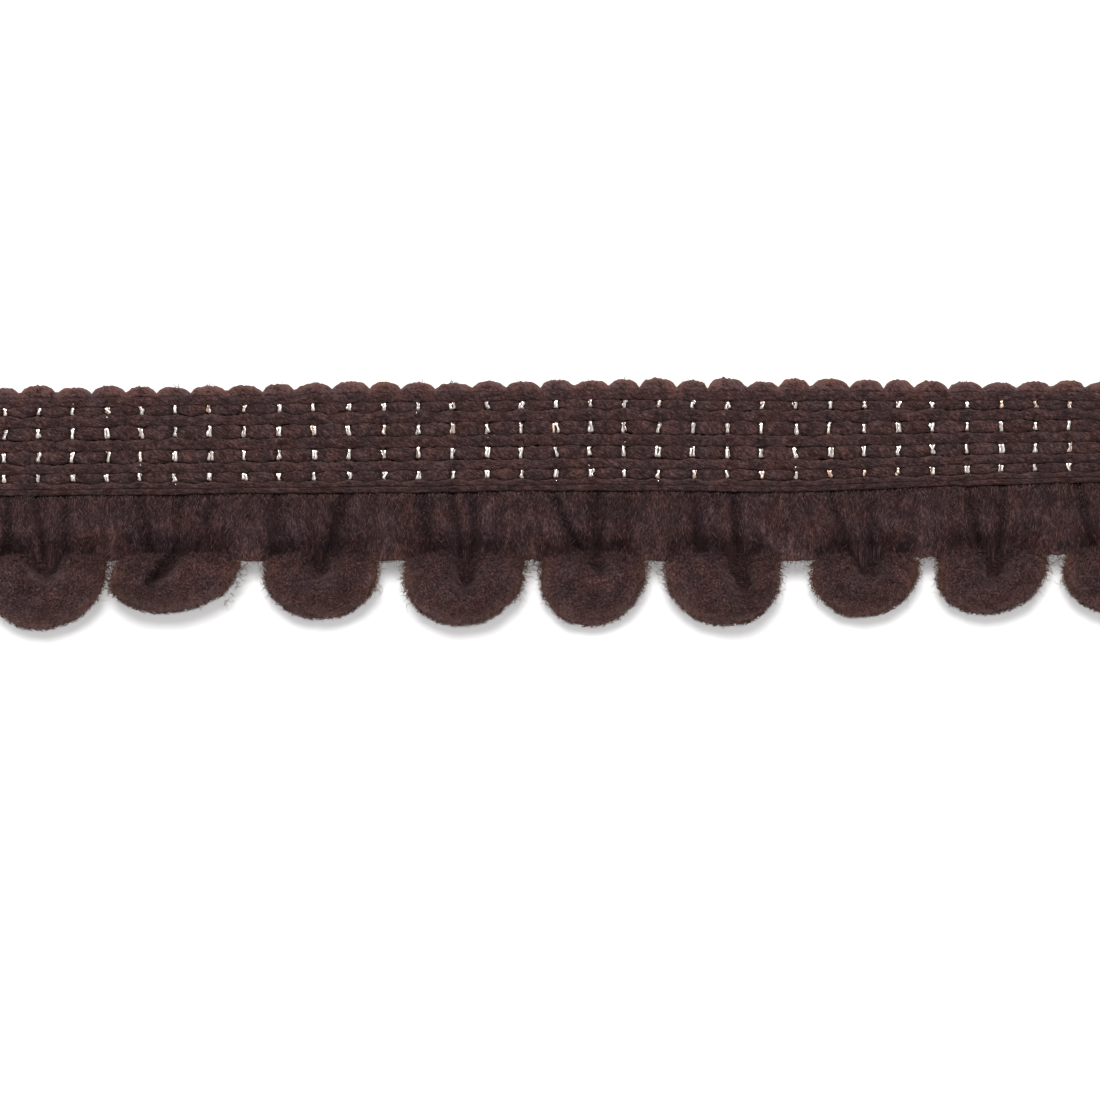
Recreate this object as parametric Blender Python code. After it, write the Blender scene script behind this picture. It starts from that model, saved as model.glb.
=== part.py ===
"""Pom pom trim: a cut length of woven braid with a brushed skirt and a row of tied wool pompoms.

The trim lies face up. +X runs along the length, +Y points to the scalloped edge of the
heading, and +Z points up out of the face. Metres throughout.
"""

import math
import random
from collections import namedtuple

import bmesh
import bpy
from mathutils import Vector

MM = 0.001

# Braid: picks are the bright weft threads, which stand side by side along the length
PICK_PITCH = 3.49 * MM
PICKS = 35.5
LENGTH = PICK_PITCH * PICKS
ROWS = 9
BRAID_BASE = 1.25 * MM
RIB_HEIGHT = 0.95 * MM
RIB_LOW = 0.25
EDGE_HEIGHT = 1.0 * MM
SCALLOP_DEPTH = 1.25 * MM
SCALLOP_UNEVEN = 0.3 * MM
RIB_SWAY = 0.14 * MM
UNDERCUT = 0.3 * MM
STEPS_PER_PICK = 4

# Skirt: the felted band of brushed strands between braid and pompoms
GAP = 0.3 * MM
SKIRT_THICKNESS = 1.2 * MM
SKIRT_ROOT_HEIGHT = 1.1 * MM
SKIRT_HEM_HEIGHT = 4.3 * MM
SKIRT_COLUMNS = 124
SKIRT_ROWS = 6
STRAND_PULL = 0.45
STRAND_REACH = 2.6 * MM
TONGUE_HALF_WIDTH = 0.8 * MM
TONGUE_SHARE = 0.4
TONGUE_LEAN = 0.6
TONGUE_START = 0.8
CLUMP_RISE = 0.45 * MM
CLUMP_REACH = 3.2 * MM
CLUMP_START = 0.2
VALLEY_DEPTH = 0.6 * MM
VALLEY_FULL = 0.4
VALLEY_HALF_WIDTH = 0.7 * MM
VALLEY_AT_ROOT = 3.7 * MM
VALLEY_AT_HEM = 2.4 * MM
TIE_DIP = 0.9 * MM
TIE_DIP_START = 0.5
TIE_DIP_REACH = 0.4
STRAND_UNEVEN = 0.2 * MM
HEM_UNEVEN = 0.12 * MM
HEM_LOCK = 0.7 * MM

# Pompoms: tied tufts of brushed wool
POMPOM_FLATNESS = 0.68
POMPOM_SEGMENTS = 24
POMPOM_RINGS = 12
POMPOM_SQUARENESS = 0.88
SHOULDER_SQUARENESS = 0.6
POMPOM_CLEARANCE = 0.4 * MM
POMPOM_CENTRE_DROP = 2.4 * MM
FLAT_SPOT = 0.93
GROOVE_CROWDING = 0.35
GROOVE_HALF_ANGLE = math.radians(24)
GROOVE_FLOOR = 1.7 * MM
GROOVE_SLOPE = 0.8 * MM
GROOVE_END = 0.1
GROOVE_FULL = 0.45
DIMPLE_PRESS = 0.45
DIMPLE_REACH = 0.3
SMOOTH_POLE = 0.2
POMPOM_UNEVEN = 0.16 * MM
LOCKS_PER_POMPOM = 18
LOCK_HEIGHT = 0.5 * MM
LOCKS_START = -1.6 * MM

# How the trim strays from a straight line, by station along its length, in millimetres:
# seam is the line between braid and skirt, braid and skirt are the widths on either side of it
Station = namedtuple("Station", "x seam braid skirt")
COURSE = (
    Station(-62.0, -0.6, 10.9, 6.5),
    Station(-28.0, -0.3, 11.1, 6.7),
    Station(2.0, 0.0, 11.3, 7.0),
    Station(22.0, -0.2, 11.3, 6.8),
    Station(42.0, 0.6, 10.4, 7.1),
    Station(62.0, 1.0, 9.9, 7.1),
)

# Each pompom in millimetres: x of its middle, width, y of its lowest point,
# and the groove where the strands go in: x at the top, x and y where it ends
Tuft = namedtuple("Tuft", "x width low groove_top groove_x groove_y")
TUFTS = (
    Tuft(-54.5, 12.2, -14.3, -54.4, -54.2, -8.9),
    Tuft(-41.3, 12.9, -12.6, -42.2, -43.3, -9.4),
    Tuft(-26.5, 11.5, -13.2, -26.2, -26.6, -8.7),
    Tuft(-11.9, 12.2, -13.9, -12.0, -11.7, -9.3),
    Tuft(1.2, 10.7, -13.9, 1.6, 1.9, -8.9),
    Tuft(14.4, 11.7, -13.9, 15.6, 16.6, -10.3),
    Tuft(28.9, 10.7, -13.0, 29.1, 29.4, -8.8),
    Tuft(41.8, 11.0, -12.7, 42.3, 42.7, -8.6),
    Tuft(54.9, 11.3, -12.4, 54.7, 54.6, -8.4),
)

BRAID_COLOUR = (0.060, 0.035, 0.034)
SKIRT_COLOUR = (0.042, 0.023, 0.023)
POMPOM_COLOUR = (0.055, 0.029, 0.029)


def clear_scene():
    for obj in list(bpy.data.objects):
        bpy.data.objects.remove(obj, do_unlink=True)


def course(x, column):
    """The value of one column of the course table at x, straight between stations."""
    for left, right in zip(COURSE, COURSE[1:]):
        if x <= right.x * MM:
            break
    share = (x - left.x * MM) / ((right.x - left.x) * MM)
    low = getattr(left, column) * MM
    high = getattr(right, column) * MM
    return low + (high - low) * share


def smooth_step(value, start, end):
    share = min(max((value - start) / (end - start), 0.0), 1.0)
    return share * share * (3 - 2 * share)


def bell(distance, half_width, power=2):
    return math.exp(-abs(distance / half_width) ** power)


def seam_line(x):
    return course(x, "seam")


def hem_line(x):
    return seam_line(x) - course(x, "skirt")


def nearest_tuft(x):
    return min(TUFTS, key=lambda tuft: abs(tuft.groove_top * MM - x))


def trim_middle():
    """The y halfway between the lowest pompom and the highest scallop."""
    lowest = min(tuft.low for tuft in TUFTS) * MM
    highest = max(row.seam + row.braid for row in COURSE) * MM
    return (lowest + highest) / 2


def yarn_material(name, colour, roughness):
    material = bpy.data.materials.new(name)
    material.use_nodes = True
    shader = material.node_tree.nodes["Principled BSDF"]
    shader.inputs["Base Color"].default_value = (*colour, 1.0)
    shader.inputs["Roughness"].default_value = roughness
    shader.inputs["Metallic"].default_value = 0.0
    return material


def add_object(name, bm, material, collection, parent):
    mesh = bpy.data.meshes.new(name)
    bmesh.ops.recalc_face_normals(bm, faces=bm.faces[:])
    bm.to_mesh(mesh)
    bm.free()
    mesh.materials.append(material)
    mesh.shade_smooth()
    obj = bpy.data.objects.new(name, mesh)
    collection.objects.link(obj)
    obj.parent = parent
    return obj


def unit_grid(columns, rows):
    """A flat grid whose vertices run from 0 to columns in x and from 0 to rows in y."""
    bm = bmesh.new()
    bmesh.ops.create_grid(bm, x_segments=columns, y_segments=rows, size=0.5)
    for vert in bm.verts:
        vert.co = Vector((round((vert.co.x + 0.5) * columns), round((vert.co.y + 0.5) * rows), 0))
    return bm


def scallop_heights(seed):
    draw = random.Random(seed)
    return [draw.uniform(-1.0, 1.0) * SCALLOP_UNEVEN for _ in range(math.ceil(PICKS) + 1)]


def braid_point(column, line, scallops):
    """Top face of the braid. Odd lines are the backs of the lengthwise yarns, even lines the
    furrows between them. Yarns rise and dive by turns, so that neighbours cross the picks on
    opposite sides, and the outermost yarn bows out at each pick."""
    picks_along = column / STEPS_PER_PICK
    x = -LENGTH / 2 + picks_along * PICK_PITCH
    wave = math.cos(2 * math.pi * picks_along)
    width = course(x, "braid")
    off_pick = abs(picks_along - round(picks_along)) * 2
    bow = SCALLOP_DEPTH * (1 - math.sqrt(1 - off_pick ** 2))
    bow -= scallops[round(picks_along)] * (1 - off_pick)
    edge_share = smooth_step(line, 2 * ROWS - 4, 2 * ROWS)
    y = seam_line(x) + width * line / (2 * ROWS) - bow * edge_share
    row = line // 2
    inner = 0 < line < 2 * ROWS
    if line % 2:
        rise = 0.5 + 0.5 * wave * (1 if row % 2 == 0 else -1)
        z = BRAID_BASE + RIB_HEIGHT * (RIB_LOW + (1 - RIB_LOW) * rise)
    else:
        y += RIB_SWAY * wave * (-1 if row % 2 == 0 else 1) * inner
        z = BRAID_BASE if inner else EDGE_HEIGHT
    return Vector((x, y, z))


def make_heading(material, collection, parent):
    """Woven braid: a ribbed face, a rim tucked in below it and a flat back."""
    scallops = scallop_heights(seed=3)
    bm = unit_grid(round(PICKS * STEPS_PER_PICK), 2 * ROWS)
    for vert in bm.verts:
        vert.co = braid_point(round(vert.co.x), round(vert.co.y), scallops)
    rim = [edge for edge in bm.edges if edge.is_boundary]
    skirting = bmesh.ops.extrude_edge_only(bm, edges=rim)["geom"]
    for vert in (item for item in skirting if isinstance(item, bmesh.types.BMVert)):
        above_middle = vert.co.y > seam_line(vert.co.x) + course(vert.co.x, "braid") / 2
        vert.co.y += -UNDERCUT if above_middle else UNDERCUT
        vert.co.z = 0.0
    back_edges = [item for item in skirting if isinstance(item, bmesh.types.BMEdge) and item.is_boundary]
    bmesh.ops.edgeloop_fill(bm, edges=back_edges)
    return add_object("heading", bm, material, collection, parent)


def skirt_height(x, depth, offset, tuft):
    """Height of the middle of the skirt's thickness, depth 0 at the braid and 1 at the hem."""
    away = abs(offset)
    height = SKIRT_ROOT_HEIGHT + (SKIRT_HEM_HEIGHT - SKIRT_ROOT_HEIGHT) * depth
    height += CLUMP_RISE * (1 - bell(away, CLUMP_REACH)) * math.sin(math.pi * (depth + CLUMP_START) / 1.3)
    valley = VALLEY_AT_ROOT + (VALLEY_AT_HEM - VALLEY_AT_ROOT) * depth
    height -= VALLEY_DEPTH * bell(away - valley, VALLEY_HALF_WIDTH) * smooth_step(depth, 0.0, VALLEY_FULL)
    over_tuft = bell(x - tuft.x * MM, TIE_DIP_REACH * tuft.width * MM, power=4)
    height -= TIE_DIP * over_tuft * smooth_step(depth, TIE_DIP_START, 1.0)
    return height


def skirt_point(column, row, unevenness):
    """Middle surface of the skirt. Strands lean towards the nearest tie, and those that
    meet it reach past the hem as a tongue."""
    depth = 1 - row / SKIRT_ROWS
    x = LENGTH * (column / SKIRT_COLUMNS - 0.5)
    tuft = nearest_tuft(x)
    offset = x - tuft.groove_top * MM
    root = seam_line(x) - GAP
    hem = hem_line(x)
    ruffle, hem_shift = unevenness[column]
    y = root + (hem - root + hem_shift) * depth
    z = skirt_height(x, depth, offset, tuft) + ruffle * math.sin(math.pi * depth)
    tongue = TONGUE_SHARE * bell(offset, TONGUE_HALF_WIDTH, power=4) * smooth_step(depth, TONGUE_START, 1.0)
    y -= tongue * (hem - tuft.groove_y * MM)
    x += tongue * TONGUE_LEAN * (tuft.groove_x - tuft.groove_top) * MM
    x -= offset * STRAND_PULL * bell(offset, STRAND_REACH) * depth ** 2
    return Vector((x, y, z))


def in_gap_between_tufts(x, margin):
    return all(abs(x - tuft.x * MM) > tuft.width * MM / 2 + margin for tuft in TUFTS)


def raise_hem_locks(bm):
    """A tuft of strands hangs from the hem wherever no pompom lies below it."""
    hem_faces = []
    for face in bm.faces:
        middle = face.calc_center_median()
        facing_down = face.normal.y < -0.8
        if facing_down and in_gap_between_tufts(middle.x, margin=0.1 * MM):
            hem_faces.append(face)
    for face in hem_faces:
        tip = bmesh.ops.poke(bm, faces=[face])["verts"][0]
        tip.co.y -= HEM_LOCK


def make_skirt(material, collection, parent):
    """Brushed skirt: a lumpy felted slab of strands with locks at its hem."""
    draw = random.Random(11)
    unevenness = []
    for _ in range(SKIRT_COLUMNS + 1):
        ruffle = draw.uniform(-1.0, 1.0) * STRAND_UNEVEN
        hem_shift = draw.uniform(-1.0, 1.0) * HEM_UNEVEN
        unevenness.append((ruffle, hem_shift))
    bm = unit_grid(SKIRT_COLUMNS, SKIRT_ROWS)
    for vert in bm.verts:
        vert.co = skirt_point(round(vert.co.x), round(vert.co.y), unevenness)
        vert.co.z += SKIRT_THICKNESS / 2
    bmesh.ops.recalc_face_normals(bm, faces=bm.faces[:])
    under = bmesh.ops.extrude_face_region(bm, geom=bm.faces[:])["geom"]
    for vert in (item for item in under if isinstance(item, bmesh.types.BMVert)):
        vert.co.z -= SKIRT_THICKNESS
    bmesh.ops.recalc_face_normals(bm, faces=bm.faces[:])
    raise_hem_locks(bm)
    return add_object("skirt", bm, material, collection, parent)


def crowd_towards_groove(direction, turn):
    """Turns a unit direction about Z so that the sphere's columns crowd round the groove,
    which lies at the top of the tuft plus the turn."""
    flat = math.hypot(direction.x, direction.y)
    from_top = math.atan2(direction.x, direction.y)
    from_groove = from_top - GROOVE_CROWDING * math.sin(from_top)
    angle = from_groove + turn
    turned = Vector((flat * math.sin(angle), flat * math.cos(angle), direction.z))
    return turned, from_groove


def pompom_frame(tuft):
    """The y of the side pressed against the hem, and the y of the middle of the ball."""
    hems = [hem_line((tuft.x + side * tuft.width / 2) * MM) for side in (-1, 0, 1)]
    top = min(hems) - POMPOM_CLEARANCE
    return top, top - POMPOM_CENTRE_DROP


def groove_press(direction, from_groove):
    """How far a point of the unit ball is pressed in, from 0 to 1: all of the way along the
    groove, and part of the way in the dimple round its end."""
    flat = math.hypot(direction.x, direction.y)
    groove = bell(from_groove, GROOVE_HALF_ANGLE, power=4) * smooth_step(flat, GROOVE_END, GROOVE_FULL)
    dimple = DIMPLE_PRESS * bell(flat, DIMPLE_REACH) if direction.z > 0 else 0.0
    return max(groove, dimple)


def pompom_point(direction, tuft, draw):
    """A flattened ball, measured from its middle, whose pole stands over the end of its groove.
    The side towards the hem is squared off, the groove runs from there to the pole, and the
    ball rests on a flat spot."""
    half_width = tuft.width * MM / 2
    half_height = half_width * POMPOM_FLATNESS
    middle_y = pompom_frame(tuft)[1]
    turn = math.asin((tuft.groove_top - tuft.x) / (tuft.width / 2))
    turned, from_groove = crowd_towards_groove(direction, turn)
    flat = math.hypot(turned.x, turned.y)
    if turned.y > 0:
        y = POMPOM_CENTRE_DROP * turned.y ** SHOULDER_SQUARENESS
    else:
        y = (middle_y - tuft.low * MM) * turned.y
    x = half_width * turned.x + (tuft.groove_x - tuft.x) * MM * (1 - flat)
    y += (tuft.groove_y * MM - middle_y) * (1 - flat)
    rise = math.copysign(abs(turned.z) ** POMPOM_SQUARENESS, turned.z) * half_height
    lump = draw.uniform(-1.0, 1.0) * POMPOM_UNEVEN * (flat > SMOOTH_POLE)
    point = Vector((x, y, half_height * FLAT_SPOT + rise)) + turned * lump
    floor = GROOVE_FLOOR + GROOVE_SLOPE * turned.z
    if point.z > floor:
        point.z += (floor - point.z) * groove_press(turned, from_groove)
    point.y = min(point.y, POMPOM_CENTRE_DROP)
    point.z = max(point.z, 0.0)
    return point


def raise_locks(bm, draw):
    """Short locks of pile stand off the lower rim of a pompom, clear of its neighbours."""
    free = []
    for face in bm.faces:
        below_groove = face.calc_center_median().y < LOCKS_START
        beside_neighbour = abs(face.normal.x) > 0.75
        on_rim = -0.3 < face.normal.z < 0.85
        if below_groove and on_rim and not beside_neighbour:
            free.append(face)
    for face in draw.sample(free, min(LOCKS_PER_POMPOM, len(free))):
        outward = face.normal.copy()
        tip = bmesh.ops.poke(bm, faces=[face])["verts"][0]
        tip.co += outward * LOCK_HEIGHT * draw.uniform(0.5, 1.0)


def make_pompom(number, tuft, material, collection, parent):
    draw = random.Random(100 + number)
    bm = bmesh.new()
    bmesh.ops.create_uvsphere(bm, u_segments=POMPOM_SEGMENTS, v_segments=POMPOM_RINGS, radius=1.0)
    for vert in bm.verts:
        vert.co = pompom_point(vert.co.copy(), tuft, draw)
    bmesh.ops.recalc_face_normals(bm, faces=bm.faces[:])
    raise_locks(bm, draw)
    obj = add_object(f"pompom_{number}", bm, material, collection, parent)
    obj.location = (tuft.x * MM, pompom_frame(tuft)[1], 0.0)
    return obj


def make_trim():
    collection = bpy.data.collections.new("pom_pom_trim")
    bpy.context.scene.collection.children.link(collection)
    middle = bpy.data.objects.new("trim_middle", None)
    middle.location = (0.0, -trim_middle(), 0.0)
    collection.objects.link(middle)
    braid_yarn = yarn_material("braid_yarn", BRAID_COLOUR, roughness=0.85)
    skirt_wool = yarn_material("skirt_wool", SKIRT_COLOUR, roughness=0.95)
    pompom_wool = yarn_material("pompom_wool", POMPOM_COLOUR, roughness=0.95)
    make_heading(braid_yarn, collection, middle)
    make_skirt(skirt_wool, collection, middle)
    for number, tuft in enumerate(TUFTS, start=1):
        make_pompom(number, tuft, pompom_wool, collection, middle)


clear_scene()
make_trim()
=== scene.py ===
import math

import bpy
import numpy as np
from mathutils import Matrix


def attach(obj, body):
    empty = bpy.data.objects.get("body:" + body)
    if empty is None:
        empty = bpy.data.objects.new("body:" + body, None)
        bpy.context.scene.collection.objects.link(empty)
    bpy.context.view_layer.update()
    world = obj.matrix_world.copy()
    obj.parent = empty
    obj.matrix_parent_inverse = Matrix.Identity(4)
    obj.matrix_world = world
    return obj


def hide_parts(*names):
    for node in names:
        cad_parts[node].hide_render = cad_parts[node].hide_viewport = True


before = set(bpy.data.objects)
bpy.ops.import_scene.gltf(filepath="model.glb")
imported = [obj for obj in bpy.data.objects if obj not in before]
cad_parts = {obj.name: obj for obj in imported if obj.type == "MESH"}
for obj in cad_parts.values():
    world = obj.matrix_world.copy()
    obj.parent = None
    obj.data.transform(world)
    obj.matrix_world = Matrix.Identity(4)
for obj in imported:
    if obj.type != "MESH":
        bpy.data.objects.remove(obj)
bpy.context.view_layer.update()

# Pom pom trim lying face up: x along its length, y towards the scalloped edge, z up.
# Lengths in this script are millimetres; makePiece turns them into metres.
millimetre = 0.001

trim = {
    "pickPitch": 3.49,      # from one bright weft thread to the next
    "picks": 35.5,          # how many of them fit on the cut length
    "seamY": 1.5,           # y of the line between braid and skirt, before it strays
    "usualBraid": 11.1,     # braid width for which the rows table is given
}
trimLength = trim["pickPitch"] * trim["picks"]
leftEnd = -trimLength / 2

# how the trim strays along its length: x, seam line, braid width, skirt width
courseTable = np.array([
    (-62.0, -0.6, 10.9, 6.5),
    (-28.0, -0.3, 11.1, 6.7),
    (2.0, 0.0, 11.3, 7.0),
    (22.0, -0.2, 11.3, 6.8),
    (42.0, 0.6, 10.4, 7.1),
    (62.0, 1.0, 9.9, 7.1),
])

# how far the picks stray from an even spacing: x, and how far to the right they stand there
pickStray = np.array([
    (-62.0, -0.36), (-41.0, -0.43), (-34.0, -0.32), (-27.0, -0.20), (-20.0, -0.03),
    (-6.0, 0.05), (20.0, 0.10), (62.0, 0.15),
])

# each pompom: x of its middle, width, lowest y, then its groove: x at the top, x and y of its end,
# half width; and how far its lower side leans to the right
tuftTable = np.array([
    (-54.5, 12.2, -14.3, -54.2, -54.4, -9.0, 2.5, -1.0),
    (-41.3, 12.9, -12.6, -41.2, -43.4, -9.6, 1.45, -2.0),
    (-26.5, 11.5, -13.2, -26.4, -26.6, -8.9, 1.9, -0.2),
    (-11.9, 12.2, -13.9, -11.6, -11.7, -10.1, 1.9, -0.7),
    (1.2, 10.7, -13.9, 1.6, 1.7, -8.6, 1.2, -0.5),
    (14.4, 11.7, -13.9, 15.8, 16.8, -10.7, 1.7, 0.4),
    (28.9, 10.7, -13.0, 29.1, 29.3, -9.1, 2.2, -0.5),
    (41.8, 11.0, -12.7, 42.4, 42.0, -9.2, 1.9, -1.0),
    (54.9, 11.4, -12.6, 54.7, 54.6, -8.6, 1.8, -0.8),
])



def bell(distance, halfWidth, power=2):
    # exp of minus (distance over half width) to the power
    return np.exp(-np.abs(distance / halfWidth) ** power)


def smoothStep(value, start, end):
    # 0 before start, 1 after end, 3s^2 - 2s^3 between
    share = np.clip((value - start) / (end - start), 0, 1)
    return share * share * (3 - 2 * share)


def mix(low, high, share):
    return low + (high - low) * share


def courseAt(x, column):
    return np.interp(x, courseTable[:, 0], courseTable[:, column])


def seamAt(x):
    return trim["seamY"] + courseAt(x, 1)


def hemAt(x):
    return seamAt(x) - courseAt(x, 3)


def phaseAt(x):
    # how many picks lie to the left of x
    return (x - np.interp(x, pickStray[:, 0], pickStray[:, 1]) - leftEnd) / trim["pickPitch"]


def xAtPhase(phase):
    even = np.linspace(leftEnd - 1, 1 - leftEnd, 3000)
    return np.interp(phase, phaseAt(even), even)


def lumps(points, seed):
    # smooth noise from -1 to 1: random values at whole-number points, eased between them
    size = 37
    table = np.random.default_rng(seed).uniform(-1, 1, (size, size, size))
    cell = np.floor(points).astype(int)
    part = points - cell
    part = part * part * (3 - 2 * part)
    total = 0
    for corner in np.ndindex(2, 2, 2):
        at = (cell + corner) % size
        weight = np.prod(np.where(corner, part, 1 - part), axis=-1)
        total = total + weight * table[at[..., 0], at[..., 1], at[..., 2]]
    return total


def grain(u, v, seed, w=0.0):
    # the same noise on two coordinates
    u, v, w = np.broadcast_arrays(np.asarray(u, float), np.asarray(v, float), np.asarray(w, float))
    return lumps(np.stack([u, v, w], axis=-1), seed)


def tubeFaces(along, around):
    # triangles of a closed tube of rings, each ring joined to the next, and a flat fan at each end
    ring, spoke = np.meshgrid(np.arange(along - 1), np.arange(around), indexing="ij")
    after = (spoke + 1) % around
    a, b = ring * around + spoke, ring * around + after
    c, d = b + around, a + around
    walls = np.stack([a, b, c, a, c, d], axis=-1).reshape(-1, 3)
    fan = np.arange(1, around - 1)
    near = np.stack([0 * fan, fan + 1, fan], axis=-1)
    far = np.stack([0 * fan, fan, fan + 1], axis=-1) + (along - 1) * around
    return np.concatenate([walls, near, far])


def repeatFaces(faces, count, step):
    # the same faces once for each of count copies whose points stand one after another
    return (faces[None] + (np.arange(count) * step)[:, None, None]).reshape(-1, faces.shape[1])


def unit(vectors):
    return vectors / np.maximum(np.linalg.norm(vectors, axis=-1, keepdims=True), 1e-9)


def needles(roots, middles, tips, thickness):
    # fibres as three-sided needles: a ring at the root, a thinner one half way and a pointed tip
    forward = unit(tips - roots)
    side = unit(np.cross(forward, np.array([0.31, 0.22, 0.93])))
    up = np.cross(forward, side)
    turn = np.radians([0, 120, 240])
    spokes = side[:, None] * np.cos(turn)[None, :, None] + up[:, None] * np.sin(turn)[None, :, None]
    spokes = spokes * np.reshape(thickness, (-1, 1, 1)) / 2
    points = np.concatenate([roots[:, None] + spokes, middles[:, None] + spokes * 0.8, tips[:, None]], axis=1)
    pattern = np.array([
        (0, 2, 1), (0, 1, 4), (0, 4, 3), (1, 2, 5), (1, 5, 4),
        (2, 0, 3), (2, 3, 5), (3, 4, 6), (4, 5, 6), (5, 3, 6),
    ])
    return points.reshape(-1, 3), repeatFaces(pattern, len(roots), 7)


def makePiece(name, points, faces, material, tint, strand=None, rim=None):
    # one mesh from arrays, turned right side out by its signed volume, riding on the one body
    corners = points[faces]
    volume = np.einsum("ij,ij->i", corners[:, 0], np.cross(corners[:, 1], corners[:, 2])).sum()
    if volume < 0:
        faces = faces[:, ::-1]
    mesh = bpy.data.meshes.new(name)
    mesh.vertices.add(len(points))
    mesh.vertices.foreach_set("co", (points * millimetre).astype(np.float32).ravel())
    mesh.loops.add(faces.size)
    mesh.loops.foreach_set("vertex_index", faces.astype(np.int32).ravel())
    mesh.polygons.add(len(faces))
    mesh.polygons.foreach_set("loop_start", np.arange(0, faces.size, 3, dtype=np.int32))
    mesh.update(calc_edges=True)
    mesh.shade_smooth()
    shade = mesh.attributes.new("tint", "FLOAT", "POINT")
    shade.data.foreach_set("value", np.broadcast_to(tint, len(points)).astype(np.float32))
    if strand is not None:
        follow = mesh.attributes.new("strand", "FLOAT_VECTOR", "POINT")
        follow.data.foreach_set("vector", strand.astype(np.float32).ravel())
    if rim is not None:
        glow = mesh.attributes.new("rim", "FLOAT", "POINT")
        glow.data.foreach_set("value", np.broadcast_to(rim, len(points)).astype(np.float32))
    mesh.materials.append(material)
    piece = bpy.data.objects.new(name, mesh)
    bpy.context.scene.collection.objects.link(piece)
    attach(piece, "root")
    print("made", name, len(faces), "triangles")
    return piece



def woolMaterial(name, look):
    # dark, usual and light wool by the tint attribute, which also carries painted light and shade, patches and
    # streaks of noise, and a soft sheen
    material = bpy.data.materials.new(name)
    material.use_nodes = True
    nodes, links = material.node_tree.nodes, material.node_tree.links
    shader = nodes["Principled BSDF"]
    shader.inputs["Roughness"].default_value = look["roughness"]
    shader.inputs["Specular IOR Level"].default_value = look["specular"]
    shader.inputs["Sheen Weight"].default_value = look["sheen"]
    shader.inputs["Sheen Roughness"].default_value = 0.45
    shader.inputs["Sheen Tint"].default_value = (*look["sheenTint"], 1)

    tint = nodes.new("ShaderNodeAttribute")
    tint.attribute_name = "tint"
    if look["follow"]:
        place = nodes.new("ShaderNodeAttribute")
        place.attribute_name = "strand"
        where = place.outputs["Vector"]
    else:
        place = nodes.new("ShaderNodeTexCoord")
        where = place.outputs["Object"]
    mapping = nodes.new("ShaderNodeMapping")
    mapping.inputs["Scale"].default_value = look["streakScale"]
    links.new(where, mapping.inputs["Vector"])

    streaks = nodes.new("ShaderNodeTexNoise")
    streaks.inputs["Scale"].default_value = 1.0
    streaks.inputs["Detail"].default_value = 4.0
    streaks.inputs["Roughness"].default_value = 0.72
    links.new(mapping.outputs["Vector"], streaks.inputs["Vector"])

    spots = nodes.new("ShaderNodeTexCoord")
    patches = nodes.new("ShaderNodeTexNoise")
    patches.inputs["Scale"].default_value = look["patchScale"]
    patches.inputs["Detail"].default_value = 3.0
    links.new(spots.outputs["Object"], patches.inputs["Vector"])

    # shade = tint + streak share * (streaks - 0.5) + patch share * (patches - 0.5)
    fromStreaks = nodes.new("ShaderNodeMath")
    fromStreaks.operation = "MULTIPLY_ADD"
    fromStreaks.inputs[1].default_value = look["streakShare"]
    links.new(streaks.outputs["Fac"], fromStreaks.inputs[0])
    links.new(tint.outputs["Fac"], fromStreaks.inputs[2])
    fromPatches = nodes.new("ShaderNodeMath")
    fromPatches.operation = "MULTIPLY_ADD"
    fromPatches.inputs[1].default_value = look["patchShare"]
    links.new(patches.outputs["Fac"], fromPatches.inputs[0])
    links.new(fromStreaks.outputs["Value"], fromPatches.inputs[2])
    centred = nodes.new("ShaderNodeMath")
    centred.operation = "SUBTRACT"
    centred.inputs[1].default_value = (look["streakShare"] + look["patchShare"]) / 2
    links.new(fromPatches.outputs["Value"], centred.inputs[0])

    ramp = nodes.new("ShaderNodeValToRGB")
    stops = ramp.color_ramp.elements
    stops[0].position, stops[0].color = 0.0, (*look["dark"], 1)
    stops[1].position, stops[1].color = 1.0, (*look["light"], 1)
    middle = stops.new(0.5)
    middle.color = (*look["usual"], 1)
    links.new(centred.outputs["Value"], ramp.inputs["Fac"])

    # the dye takes unevenly: a redder and a greyer cast come and go in patches
    drift = nodes.new("ShaderNodeTexNoise")
    drift.inputs["Scale"].default_value = look["castScale"]
    drift.inputs["Detail"].default_value = 2.0
    links.new(spots.outputs["Object"], drift.inputs["Vector"])
    cast = nodes.new("ShaderNodeValToRGB")
    castStops = cast.color_ramp.elements
    castStops[0].position, castStops[0].color = 0.35, (*look["greyCast"], 1)
    castStops[1].position, castStops[1].color = 0.65, (*look["redCast"], 1)
    links.new(drift.outputs["Fac"], cast.inputs["Fac"])
    dyed = nodes.new("ShaderNodeMix")
    dyed.data_type = "RGBA"
    dyed.blend_type = "MULTIPLY"
    dyed.inputs["Factor"].default_value = 1.0
    links.new(ramp.outputs["Color"], dyed.inputs["A"])
    links.new(cast.outputs["Color"], dyed.inputs["B"])

    # painted warm light at the outline, standing in for light through thin fuzz, by the rim light attribute
    rim = nodes.new("ShaderNodeAttribute")
    rim.attribute_name = "rim"
    edged = nodes.new("ShaderNodeMix")
    edged.data_type = "RGBA"
    edged.inputs["B"].default_value = (*look["rimColour"], 1)
    links.new(rim.outputs["Fac"], edged.inputs["Factor"])
    links.new(dyed.outputs["Result"], edged.inputs["A"])
    links.new(edged.outputs["Result"], shader.inputs["Base Color"])

    bump = nodes.new("ShaderNodeBump")
    bump.inputs["Strength"].default_value = look["bump"]
    bump.inputs["Distance"].default_value = look["bumpDepth"] * millimetre
    links.new(streaks.outputs["Fac"], bump.inputs["Height"])
    links.new(bump.outputs["Normal"], shader.inputs["Normal"])
    return material


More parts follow.
